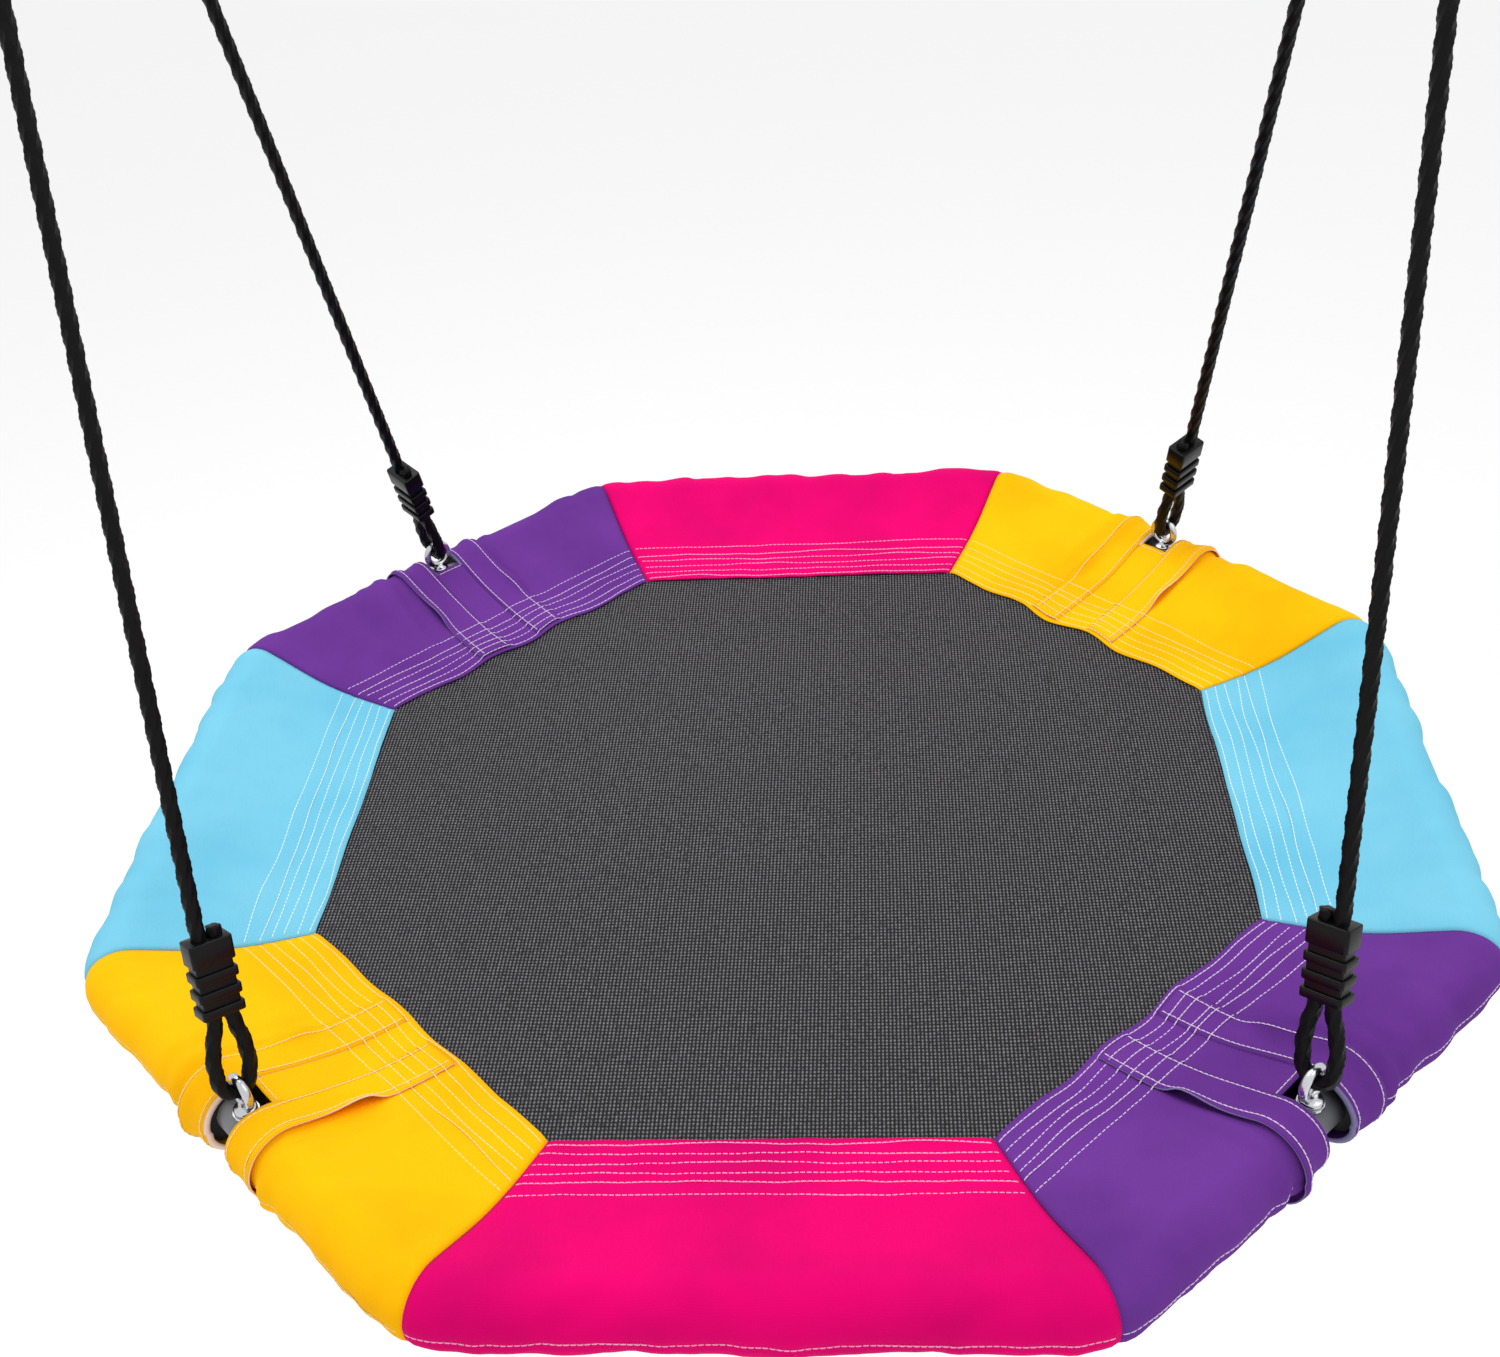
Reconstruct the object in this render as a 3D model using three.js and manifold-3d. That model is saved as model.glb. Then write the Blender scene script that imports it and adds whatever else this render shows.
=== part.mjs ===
// Octagonal platform swing: a bent tube frame in a fabric border, a mesh seat, and four ropes on two rings.
// Millimetres, +Z up, -Y is the front. The origin is where the left oval link bears on its hanger.
import * as THREE from "three";
import { mergeVertices } from "three/addons/utils/BufferGeometryUtils.js";
import Module from "manifold-3d";

const wasm = await Module();
wasm.setup();

// Seat
const ACROSS_FLATS = 1016;
const BORDER_WIDTH = 160;
const CLOTH = 1.2;
const COVER_SLACK = 2.3;
const GAP = 0.3;
const MESH_THICK = 1;
const MESH_TUCK = 43;
const SEAM_WIDTH = 51;
const MESH_DROP = 9.3;

// Frame tube
const TUBE_OD = 28;
const TUBE_WALL = 1.5;
const BEND_RADIUS = 60;
const BOLT_TO_TUBE_END = 24;
const SPIGOT_PAST_BOLT = 18;
const SPIGOT_SEAT = 8;
const NECK_LENGTH = 2;
const NECK_STEP = 0.5;
const TUBE_SIDES = 12;
const BEND_STEPS = 4;

// Foam sleeves round the tubes
const FOAM_THICK = 8;
const FOAM_FROM_CUTOUT = 6;

// Eye bolts and their fasteners
const BOLT_OD = 8;
const BOLT_CLEARANCE = 0.4;
const EYE_WIRE = 6.5;
const EYE_INNER = 15;
const EYE_SINK = 1;
const COLLAR_OD = 16;
const COLLAR_HEIGHT = 3.5;
const WASHER_OD = 18;
const WASHER_THICK = 1.6;
const NUT_ACROSS = 13;
const NUT_HEIGHT = 8;
const BOLT_TAIL = 2;

// Cutouts in the border and the strips beside them
const CUTOUT_WIDTH = 28;
const CUTOUT_INBOARD = 14;
const STRIP_WIDTH = 31;
const STRIP_THICK = 1.2;
const STRIP_INSET = 6;

// Ropes and what is on them
const ROPE_OD = 10;
const ROPE_SIDES = 8;
const ADJUSTER_BOTTOM = 48;
const ADJUSTER_END_WALL = 2;
const ADJUSTER_FACE_WALL = 1.7;
const ADJUSTER_FINS = 3;
const ADJUSTER_FIN = 6.5;
const ADJUSTER_FIN_REACH = 1.9;
const ADJUSTER_GROOVE = 5.5;
const ADJUSTER_BLOCK = 16;
const ADJUSTER_CORNER = 2.5;
const ADJUSTER_CORE_CORNER = 1.5;
const ADJUSTER_BORE_SHIFT = -0.7;
const CLAMP_WALL = 2;
const CLAMP_LENGTH = 18;
const CLAMP_DISTANCE = 51;

// Hanging rings and oval links
const HANGER_X = 417;
const RING_HEIGHT = 1170;
const RING_RADIUS = 22;
const RING_WIRE = 7;
const ROPE_OFFSET_ON_RING = 5.6;
const LINK_WIRE = 8;
const LINK_BEND_RADIUS = 12;
const LINK_STRAIGHT = 38;

const steel = { color: "#c9ccd0", roughness: 0.25, metalness: 1 };
const tubeSteel = { color: "#8e9194", roughness: 0.4, metalness: 0.6 };
const foamGrey = { color: "#2c2c2e", roughness: 0.95, metalness: 0 };
const blackPlastic = { color: "#151516", roughness: 0.4, metalness: 0 };
const ropeBlack = { color: "#101012", roughness: 0.9, metalness: 0 };
const meshBlack = { color: "#3a3a3c", roughness: 0.8, metalness: 0 };
const pink = { color: "#e8006f", roughness: 0.8, metalness: 0 };
const yellow = { color: "#ffc20a", roughness: 0.8, metalness: 0 };
const blue = { color: "#74cbe8", roughness: 0.8, metalness: 0 };
const purple = { color: "#734395", roughness: 0.8, metalness: 0 };

const apothem = ACROSS_FLATS / 2;
const wrapRadius = TUBE_OD / 2 + FOAM_THICK + COVER_SLACK;
const tubeApothem = apothem - CLOTH - wrapRadius;
const innerApothem = apothem - BORDER_WIDTH;
const halfTurn = Math.PI / 8;
const pastFace = 1;
const seat = new THREE.Group();

function addMesh(name, geometry, look) {
  const mesh = new THREE.Mesh(geometry, new THREE.MeshStandardMaterial(look));
  mesh.name = name;
  seat.add(mesh);
  return mesh;
}

// Closed geometry to a manifold solid and back
function toSolid(geometry, matrix = new THREE.Matrix4()) {
  const copy = geometry.clone().applyMatrix4(matrix);
  copy.deleteAttribute("normal");
  copy.deleteAttribute("uv");
  const merged = mergeVertices(copy, 1e-4);
  return new wasm.Manifold(
    new wasm.Mesh({
      numProp: 3,
      vertProperties: new Float32Array(merged.attributes.position.array),
      triVerts: new Uint32Array(merged.index.array),
    }),
  );
}

function toGeometry(solid) {
  const mesh = solid.getMesh();
  const geometry = new THREE.BufferGeometry();
  geometry.setAttribute("position", new THREE.BufferAttribute(new Float32Array(mesh.vertProperties), 3));
  geometry.setIndex(new THREE.BufferAttribute(new Uint32Array(mesh.triVerts), 1));
  geometry.computeVertexNormals();
  return geometry;
}

function moved(x, y, z) {
  return new THREE.Matrix4().makeTranslation(x, y, z);
}

// An upright cylinder solid between two heights
function post(radius, bottom, top, sides = 20) {
  const geometry = new THREE.CylinderGeometry(radius, radius, top - bottom, sides);
  geometry.rotateX(Math.PI / 2);
  return toSolid(geometry, moved(0, 0, (top + bottom) / 2));
}

function boxSolid(sizeX, sizeY, sizeZ, x, y, z) {
  return toSolid(new THREE.BoxGeometry(sizeX, sizeY, sizeZ), moved(x, y, z));
}

// A route whose steps fall on its chosen points
class Route extends THREE.CatmullRomCurve3 {
  getPointAt(u, target) {
    return this.getPoint(u, target);
  }
  getTangentAt(u, target) {
    return this.getTangent(u, target);
  }
}

function roundShape(radius, sides, holeRadius = 0) {
  const ring = (r, hole) => {
    const points = [];
    for (let i = 0; i < sides; i += 1) {
      const a = ((i + 0.5) / sides) * 2 * Math.PI;
      points.push(new THREE.Vector2(r * Math.cos(a), (hole ? -r : r) * Math.sin(a)));
    }
    return points;
  };
  const shape = new THREE.Shape(ring(radius, false));
  if (holeRadius > 0) {
    shape.holes.push(new THREE.Path(ring(holeRadius, true)));
  }
  return shape;
}

function tubeAlong(points, shape, closed = false) {
  const route = new Route(points, closed, "catmullrom", 0);
  const steps = closed ? points.length : points.length - 1;
  return new THREE.ExtrudeGeometry(shape, { steps, extrudePath: route });
}

// ---- Frame: four like sections, each with two bends and a spigot that fills the next one's end
// A section runs round the -Y side, from the front left diagonal to the front right one
const side = tubeApothem * Math.tan(halfTurn);
const start = new THREE.Vector2(-side, -tubeApothem);
const end = new THREE.Vector2(side, -tubeApothem);
const down = new THREE.Vector2(Math.SQRT1_2, -Math.SQRT1_2);
const rise = new THREE.Vector2(Math.SQRT1_2, Math.SQRT1_2);

function sectionRoute(startTail, endTail) {
  const bendReach = BEND_RADIUS * Math.tan(halfTurn);
  const route = [];
  const place = (x, y) => route.push(new THREE.Vector3(x, y, 0));
  const first = start.clone().addScaledVector(down, -startTail);
  place(first.x, first.y);
  for (let i = 0; i <= BEND_STEPS; i += 1) {
    const a = (1 - i / BEND_STEPS) * (Math.PI / 4);
    const x = -side + bendReach - BEND_RADIUS * Math.sin(a);
    place(x, -tubeApothem + BEND_RADIUS * (1 - Math.cos(a)));
  }
  for (let i = 0; i <= BEND_STEPS; i += 1) {
    const a = (i / BEND_STEPS) * (Math.PI / 4);
    const x = side - bendReach + BEND_RADIUS * Math.sin(a);
    place(x, -tubeApothem + BEND_RADIUS * (1 - Math.cos(a)));
  }
  const last = end.clone().addScaledVector(rise, endTail);
  place(last.x, last.y);
  return route;
}

function frameSection() {
  const startTail = side - BOLT_TO_TUBE_END - 2 * GAP;
  const route = sectionRoute(startTail, side + BOLT_TO_TUBE_END);
  const first = start.clone().addScaledVector(down, -startTail);
  const outer = TUBE_OD / 2;
  const inner = outer - TUBE_WALL;
  const tube = toSolid(tubeAlong(route, roundShape(outer, TUBE_SIDES, inner)));
  // the spigot is pressed into the first end and reaches back past the bolt
  const spigotOuter = inner - GAP;
  const spigotInner = spigotOuter - TUBE_WALL;
  const spigotTip = start.clone().addScaledVector(down, -(side + SPIGOT_PAST_BOLT));
  const spigotRoot = first.clone().addScaledVector(down, SPIGOT_SEAT);
  const neckEnd = first.clone().addScaledVector(down, NECK_LENGTH);
  const line = (from, to) => [new THREE.Vector3(from.x, from.y, 0), new THREE.Vector3(to.x, to.y, 0)];
  const spigotShape = roundShape(spigotOuter, TUBE_SIDES, spigotInner);
  const neckShape = roundShape(outer - NECK_STEP, TUBE_SIDES, spigotInner);
  const spigot = toSolid(tubeAlong(line(spigotTip, spigotRoot), spigotShape));
  const neck = toSolid(tubeAlong(line(first, neckEnd), neckShape));
  const boltAt = start.clone().addScaledVector(down, -side);
  const endBoltAt = end.clone().addScaledVector(rise, side);
  const holeRadius = BOLT_OD / 2 + BOLT_CLEARANCE;
  const hole = post(holeRadius, -TUBE_OD, TUBE_OD, 10);
  return toGeometry(
    tube
      .add(spigot)
      .add(neck)
      .subtract(hole.translate([boltAt.x, boltAt.y, 0]))
      .subtract(hole.translate([endBoltAt.x, endBoltAt.y, 0])),
  );
}

const sectionGeometry = frameSection();
const foamTail = side - CUTOUT_WIDTH / 2 - FOAM_FROM_CUTOUT;
const foamShape = roundShape(TUBE_OD / 2 + FOAM_THICK, TUBE_SIDES, TUBE_OD / 2 + GAP);
const foamGeometry = tubeAlong(sectionRoute(foamTail, foamTail), foamShape);
const sectionNames = ["front", "right", "back", "left"];
sectionNames.forEach((name, i) => {
  const section = addMesh(`frame_tube_${name}`, sectionGeometry, tubeSteel);
  section.rotation.z = (i * Math.PI) / 2;
  const foam = addMesh(`foam_sleeve_${name}`, foamGeometry, foamGrey);
  foam.rotation.z = (i * Math.PI) / 2;
});

// ---- Border: each panel is one cloth that wraps the tube, drawn in its radial section and cut at the mitres
const slotHalf = MESH_THICK / 2 + GAP;
const seamApothem = innerApothem + SEAM_WIDTH;

// Half outline, from the mesh edge over the tube and back under it. lift is its height off the slack wrap
function wrapPoints(lift, inset = 0) {
  const radius = wrapRadius + lift;
  const reach = tubeApothem - seamApothem;
  const top = -MESH_DROP + slotHalf + lift;
  const bottom = -MESH_DROP - slotHalf - lift;
  // the angles at which lines from the seam touch the wrap circle
  const topTouch = Math.acos(radius / Math.hypot(reach, top));
  const bottomTouch = Math.acos(radius / Math.hypot(reach, bottom));
  const topAngle = 2 * Math.PI + Math.atan2(top, -reach) - topTouch;
  const bottomAngle = Math.atan2(bottom, -reach) + bottomTouch;
  const points = [new THREE.Vector2(innerApothem + inset, top), new THREE.Vector2(seamApothem, top)];
  const arcSteps = 9;
  for (let i = 0; i <= arcSteps; i += 1) {
    const a = topAngle + ((bottomAngle - topAngle) * i) / arcSteps;
    points.push(new THREE.Vector2(tubeApothem + radius * Math.cos(a), radius * Math.sin(a)));
  }
  points.push(new THREE.Vector2(seamApothem, bottom));
  points.push(new THREE.Vector2(innerApothem + inset, bottom));
  return points;
}

// A sheet section pushed along the side, with its ends where reachAt(apothem) puts them
function pushSection(outline, startAt, endAt) {
  const shape = new THREE.Shape(outline);
  const geometry = new THREE.ExtrudeGeometry(shape, { depth: 1, steps: 1, bevelEnabled: false });
  const at = geometry.attributes.position;
  for (let i = 0; i < at.count; i += 1) {
    const r = at.getX(i);
    const z = at.getY(i);
    const along = at.getZ(i) > 0.5 ? startAt(r) : endAt(r);
    at.setXYZ(i, along, -r, z);
  }
  geometry.computeVertexNormals();
  return geometry;
}

function panelGeometry(withCutout) {
  const outline = [...wrapPoints(CLOTH), ...wrapPoints(0).reverse()];
  const mitre = (r) => r * Math.tan(halfTurn) - GAP;
  const plain = pushSection(outline, (r) => -mitre(r), mitre);
  if (!withCutout) {
    return plain;
  }
  const inboard = tubeApothem - CUTOUT_INBOARD;
  const depth = apothem + pastFace - inboard;
  const cutter = boxSolid(CUTOUT_WIDTH, depth, 4 * TUBE_OD, 0, -inboard - depth / 2, 0);
  return toGeometry(toSolid(plain).subtract(cutter));
}

const plainPanel = panelGeometry(false);
const cutPanel = panelGeometry(true);
const panels = [
  ["front", pink],
  ["front_right", purple],
  ["right", blue],
  ["back_right", yellow],
  ["back", pink],
  ["back_left", purple],
  ["left", blue],
  ["front_left", yellow],
];
panels.forEach(([side, look], i) => {
  const diagonal = i % 2 === 1;
  const panel = addMesh(`border_${side}`, diagonal ? cutPanel : plainPanel, look);
  panel.rotation.z = (i * Math.PI) / 4;
});

// ---- Strips: two beside each cutout, sewn over the border cloth
const stripOutline = [
  ...wrapPoints(CLOTH + GAP + STRIP_THICK, STRIP_INSET),
  ...wrapPoints(CLOTH + GAP, STRIP_INSET).reverse(),
];
const stripStart = CUTOUT_WIDTH / 2 + GAP;
const stripEnd = stripStart + STRIP_WIDTH;
const stripGeometries = {
  a: pushSection(stripOutline, () => -stripEnd, () => -stripStart),
  b: pushSection(stripOutline, () => stripStart, () => stripEnd),
};
panels.forEach(([side, look], i) => {
  if (i % 2 === 1) {
    Object.entries(stripGeometries).forEach(([letter, geometry]) => {
      const strip = addMesh(`strip_${side}_${letter}`, geometry, look);
      strip.rotation.z = (i * Math.PI) / 4;
    });
  }
});

// ---- Mesh seat, tucked between the two cloths of the border
const meshCorner = (innerApothem + MESH_TUCK) / Math.cos(halfTurn);
const meshGeometry = new THREE.CylinderGeometry(meshCorner, meshCorner, MESH_THICK, 8);
meshGeometry.rotateX(Math.PI / 2);
meshGeometry.rotateZ(halfTurn);
addMesh("mesh_seat", meshGeometry, meshBlack).position.z = -MESH_DROP;

// ---- Eye bolts, one through each frame joint, with two washers and a lock nut
const tubeTop = TUBE_OD / 2;
const collarBottom = tubeTop + GAP + WASHER_THICK + GAP;
const eyeRadius = (EYE_INNER + EYE_WIRE) / 2;
const eyeHeight = collarBottom + COLLAR_HEIGHT + EYE_WIRE / 2 + eyeRadius - EYE_SINK;
const nutTop = -tubeTop - GAP - WASHER_THICK - GAP;
const boltBottom = nutTop - NUT_HEIGHT - BOLT_TAIL;

function ringGeometry(radius, wire, sides, steps) {
  return new THREE.TorusGeometry(radius, wire / 2, sides, steps);
}

function eyeBoltGeometry() {
  const ring = ringGeometry(eyeRadius, EYE_WIRE, 8, 20);
  ring.rotateX(Math.PI / 2);
  const eye = toSolid(ring, moved(0, 0, eyeHeight));
  const collarTop = collarBottom + COLLAR_HEIGHT;
  const shank = post(BOLT_OD / 2, boltBottom, collarTop, 12);
  const collar = post(COLLAR_OD / 2, collarBottom, collarTop, 16);
  return toGeometry(eye.add(shank).add(collar));
}

function washerGeometry() {
  const bore = BOLT_OD / 2 + BOLT_CLEARANCE;
  const shape = roundShape(WASHER_OD / 2, 16, bore);
  return new THREE.ExtrudeGeometry(shape, { depth: WASHER_THICK, steps: 1, bevelEnabled: false });
}

function nutGeometry() {
  const corner = NUT_ACROSS / Math.sqrt(3);
  const body = post(corner, -NUT_HEIGHT, 0, 6);
  const bore = post(BOLT_OD / 2 + GAP, -NUT_HEIGHT - pastFace, pastFace, 12);
  return toGeometry(body.subtract(bore));
}

const corners = [
  ["front_left", -1, -1],
  ["front_right", 1, -1],
  ["back_right", 1, 1],
  ["back_left", -1, 1],
];
const eyeBolt = eyeBoltGeometry();
const washer = washerGeometry();
const nut = nutGeometry();
corners.forEach(([corner, sx, sy]) => {
  const x = sx * tubeApothem * Math.SQRT1_2;
  const y = sy * tubeApothem * Math.SQRT1_2;
  const place = (name, geometry, look, z) => {
    const mesh = addMesh(`${name}_${corner}`, geometry, look);
    mesh.position.set(x, y, z);
    mesh.rotation.z = Math.atan2(sy, sx) + Math.PI / 2;
  };
  place("eye_bolt", eyeBolt, steel, 0);
  place("top_washer", washer, steel, tubeTop + GAP);
  place("bottom_washer", washer, steel, -tubeTop - GAP - WASHER_THICK);
  place("lock_nut", nut, steel, nutTop);
});

// ---- Ropes: each runs from a clamp, over its ring, down through the adjuster and round the eye bolt
// Points are [across, along] in two planes, one at the ring and one at the eye bolt
const strandPitch = ROPE_OD + 2 * GAP;
const strandRadius = ROPE_OD / 2 + GAP;
const ringLoop = [
  [-5.3, -79], [-5.3, -66], [-5.3, -50], [-7.6, -34], [-10.6, -18], [-11.3, -7],
  [-11.2, -0.8], [-9.7, 4.8], [-5.6, 8.9], [0, 10.4], [5.6, 8.9], [9.7, 4.8],
  [11.2, -0.8], [11.3, -7], [10.6, -18], [7.6, -34], [5.3, -50], [5.3, -66], [5.3, -79],
];
const eyeLoop = [
  [4.6, 112], [4.6, 95], [4.6, 72], [4.6, 48], [6.6, 37], [10.3, 23],
  [11.6, 11], [10.8, 1.6], [9.35, -3.8], [5.4, -7.75], [0, -9.2], [-5.4, -7.75],
  [-9.35, -3.8], [-10.8, 1.6], [-11.9, 11], [-11, 23], [-8, 37], [-6, 48],
  [-6, 72], [-6, 95], [-6, 106],
];

// The rope's two anchor frames: origin, direction up the rope, and across it in the loop's plane
function ropeFrames(sx, sy) {
  const radial = new THREE.Vector3(sx, sy, 0).normalize();
  const eyeCentre = radial.clone().multiplyScalar(tubeApothem).setZ(eyeHeight);
  const ringCentre = new THREE.Vector3(sx * HANGER_X, 0, RING_HEIGHT);
  const drop = Math.sqrt(RING_RADIUS ** 2 - ROPE_OFFSET_ON_RING ** 2);
  const onRing = ringCentre.clone().add(new THREE.Vector3(sx * sy * ROPE_OFFSET_ON_RING, 0, -drop));
  const lean = onRing.clone().sub(eyeCentre).normalize();
  const inEye = lean.clone().addScaledVector(radial, -lean.dot(radial)).normalize();
  const onEye = eyeCentre.clone().addScaledVector(inEye, eyeRadius);
  const along = onRing.clone().sub(onEye).normalize();
  const acrossEye = radial.clone().addScaledVector(along, -radial.dot(along)).normalize();
  const outward = new THREE.Vector3(0, sy, 0);
  const acrossRing = outward.clone().addScaledVector(along, -outward.dot(along)).normalize();
  return { onRing, onEye, along, acrossEye, acrossRing };
}

function frameMatrix(origin, across, along) {
  const third = along.clone().cross(across);
  return new THREE.Matrix4().makeBasis(across, third, along).setPosition(origin);
}

const adjusterLength = ADJUSTER_BLOCK + ADJUSTER_FINS * (ADJUSTER_FIN + ADJUSTER_GROOVE);
const coreWidth = strandPitch + 2 * strandRadius + 2 * ADJUSTER_END_WALL;
const coreDepth = 2 * strandRadius + 2 * ADJUSTER_FACE_WALL;

function roundedBox(width, depth, corner) {
  const shape = new THREE.Shape();
  const x = width / 2 - corner;
  const y = depth / 2 - corner;
  shape.absarc(x, y, corner, 0, Math.PI / 2);
  shape.absarc(-x, y, corner, Math.PI / 2, Math.PI);
  shape.absarc(-x, -y, corner, Math.PI, 1.5 * Math.PI);
  shape.absarc(x, -y, corner, 1.5 * Math.PI, 2 * Math.PI);
  return shape;
}

// A long hole for two strands side by side
function strandSlot(radius) {
  const shape = new THREE.Shape();
  shape.absarc(strandPitch / 2, 0, radius, -Math.PI / 2, Math.PI / 2);
  shape.absarc(-strandPitch / 2, 0, radius, Math.PI / 2, 1.5 * Math.PI);
  return shape;
}

function slab(shape, bottom, top, curveSegments = 2) {
  const options = { depth: top - bottom, steps: 1, bevelEnabled: false, curveSegments };
  return toSolid(new THREE.ExtrudeGeometry(shape, options), moved(0, 0, bottom));
}

function adjusterGeometry() {
  const coreShape = roundedBox(coreWidth, coreDepth, ADJUSTER_CORE_CORNER);
  const finWidth = coreWidth + 2 * ADJUSTER_FIN_REACH;
  const finDepth = coreDepth + 2 * ADJUSTER_FIN_REACH;
  const finShape = roundedBox(finWidth, finDepth, ADJUSTER_CORNER);
  let body = slab(coreShape, 0, adjusterLength - pastFace);
  for (let i = 0; i < ADJUSTER_FINS; i += 1) {
    const bottom = i * (ADJUSTER_FIN + ADJUSTER_GROOVE);
    body = body.add(slab(finShape, bottom, bottom + ADJUSTER_FIN));
  }
  const block = slab(finShape, adjusterLength - ADJUSTER_BLOCK, adjusterLength);
  const bore = slab(strandSlot(strandRadius), -pastFace, adjusterLength + pastFace, 4);
  return toGeometry(body.add(block).subtract(bore.translate([ADJUSTER_BORE_SHIFT, 0, 0])));
}

function clampGeometry() {
  const shape = strandSlot(strandRadius + CLAMP_WALL);
  const hole = strandSlot(strandRadius);
  shape.holes.push(new THREE.Path(hole.getPoints(5).reverse()));
  return new THREE.ExtrudeGeometry(shape, {
    depth: CLAMP_LENGTH, steps: 1, bevelEnabled: false, curveSegments: 5,
  });
}

const adjuster = adjusterGeometry();
const clamp = clampGeometry();
const ropeSection = roundShape(ROPE_OD / 2, ROPE_SIDES);
corners.forEach(([corner, sx, sy]) => {
  const f = ropeFrames(sx, sy);
  const atRing = ([across, along]) =>
    f.onRing.clone().addScaledVector(f.acrossRing, across).addScaledVector(f.along, along);
  const atEye = ([across, along]) =>
    f.onEye.clone().addScaledVector(f.acrossEye, across).addScaledVector(f.along, along);
  const route = [...ringLoop.map(atRing), ...eyeLoop.map(atEye)];
  addMesh(`rope_${corner}`, tubeAlong(route, ropeSection), ropeBlack);
  const adjusterFoot = f.onEye.clone().addScaledVector(f.along, ADJUSTER_BOTTOM);
  const adjusterMesh = addMesh(`adjuster_${corner}`, adjuster, blackPlastic);
  adjusterMesh.applyMatrix4(frameMatrix(adjusterFoot, f.acrossEye, f.along));
  const clampFoot = f.onRing.clone().addScaledVector(f.along, -CLAMP_DISTANCE - CLAMP_LENGTH);
  const clampMesh = addMesh(`rope_clamp_${corner}`, clamp, steel);
  clampMesh.applyMatrix4(frameMatrix(clampFoot, f.acrossRing, f.along));
});

// ---- Hanging rings, and the oval links that hold them
function linkGeometry() {
  const points = [];
  const half = LINK_STRAIGHT / 2;
  const bend = (centre, from) => {
    for (let i = 0; i <= 6; i += 1) {
      const a = from + (i / 6) * Math.PI;
      const height = centre + LINK_BEND_RADIUS * Math.sin(a);
      points.push(new THREE.Vector3(0, LINK_BEND_RADIUS * Math.cos(a), height));
    }
  };
  bend(half, 0);
  bend(-half, Math.PI);
  return tubeAlong(points, roundShape(LINK_WIRE / 2, 12), true);
}

const ring = ringGeometry(RING_RADIUS, RING_WIRE, 10, 24);
ring.rotateX(Math.PI / 2);
const link = linkGeometry();
const linkBottom = RING_HEIGHT + RING_RADIUS - (RING_WIRE + LINK_WIRE) / 2 - GAP;
const linkCentre = linkBottom + LINK_BEND_RADIUS + LINK_STRAIGHT / 2;
const hangerHeight = linkCentre + LINK_STRAIGHT / 2 + LINK_BEND_RADIUS - LINK_WIRE / 2;
[["left", -1], ["right", 1]].forEach(([side, sx]) => {
  addMesh(`hanging_ring_${side}`, ring, steel).position.set(sx * HANGER_X, 0, RING_HEIGHT);
  addMesh(`oval_link_${side}`, link, steel).position.set(sx * HANGER_X, 0, linkCentre);
});

// The whole swing hangs from its left hanger's bearing point
seat.position.set(HANGER_X, 0, -hangerHeight);
const swing = new THREE.Group();
swing.add(seat);

export default swing;
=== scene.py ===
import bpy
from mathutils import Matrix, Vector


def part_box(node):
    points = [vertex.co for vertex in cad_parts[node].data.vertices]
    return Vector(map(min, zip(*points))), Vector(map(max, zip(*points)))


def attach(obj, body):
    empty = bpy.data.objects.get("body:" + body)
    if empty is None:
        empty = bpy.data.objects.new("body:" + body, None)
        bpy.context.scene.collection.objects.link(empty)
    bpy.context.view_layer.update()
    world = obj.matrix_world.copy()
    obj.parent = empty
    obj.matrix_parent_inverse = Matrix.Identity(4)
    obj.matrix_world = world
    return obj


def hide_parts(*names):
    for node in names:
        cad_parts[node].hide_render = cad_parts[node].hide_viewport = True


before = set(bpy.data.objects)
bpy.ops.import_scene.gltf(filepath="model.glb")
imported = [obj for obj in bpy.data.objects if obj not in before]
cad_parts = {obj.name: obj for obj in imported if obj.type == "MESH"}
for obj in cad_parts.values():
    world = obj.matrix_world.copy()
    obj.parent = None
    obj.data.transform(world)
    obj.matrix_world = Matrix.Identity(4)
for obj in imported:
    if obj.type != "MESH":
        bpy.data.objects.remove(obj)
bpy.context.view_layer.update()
import math

import bpy
from mathutils import Matrix, Vector, noise

# ---- Camera
# The view looks down on the seat from the front, a little from the right, and is rolled slightly.
# Positions are worked out from the middle of the mesh seat, which is the middle of the swing.
seat_low, seat_high = (Vector(corner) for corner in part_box("mesh_seat"))
SEAT_DROP = 0.0093
CAMERA_TURN, CAMERA_RISE, CAMERA_ROLL = 5.25, 34.3, -4.42
CAMERA_OFFSET = Vector((0.0857, -1.1605, 0.9086))
centre = (seat_low + seat_high) / 2 + Vector((0, 0, SEAT_DROP))


def camera_axes(azimuth, elevation, roll):
    a, e, r = (math.radians(v) for v in (azimuth, elevation, roll))
    back = Vector((math.sin(a) * math.cos(e), -math.cos(a) * math.cos(e), math.sin(e)))
    right = Vector((0, 0, 1)).cross(back).normalized()
    over = back.cross(right)
    rolled_right = right * math.cos(r) + over * math.sin(r)
    rolled_over = over * math.cos(r) - right * math.sin(r)
    return rolled_right, rolled_over, back


camera = bpy.data.objects.new("camera", bpy.data.cameras.new("camera"))
bpy.context.scene.collection.objects.link(camera)
right, over, back = camera_axes(CAMERA_TURN, CAMERA_RISE, CAMERA_ROLL)
stand = centre + CAMERA_OFFSET
camera.matrix_world = Matrix(
    (
        (right.x, over.x, back.x, stand.x),
        (right.y, over.y, back.y, stand.y),
        (right.z, over.z, back.z, stand.z),
        (0, 0, 0, 1),
    )
)
camera.data.lens = 44.41
camera.data.sensor_width = 36
camera.data.clip_start = 0.05
bpy.context.scene.camera = camera

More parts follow.
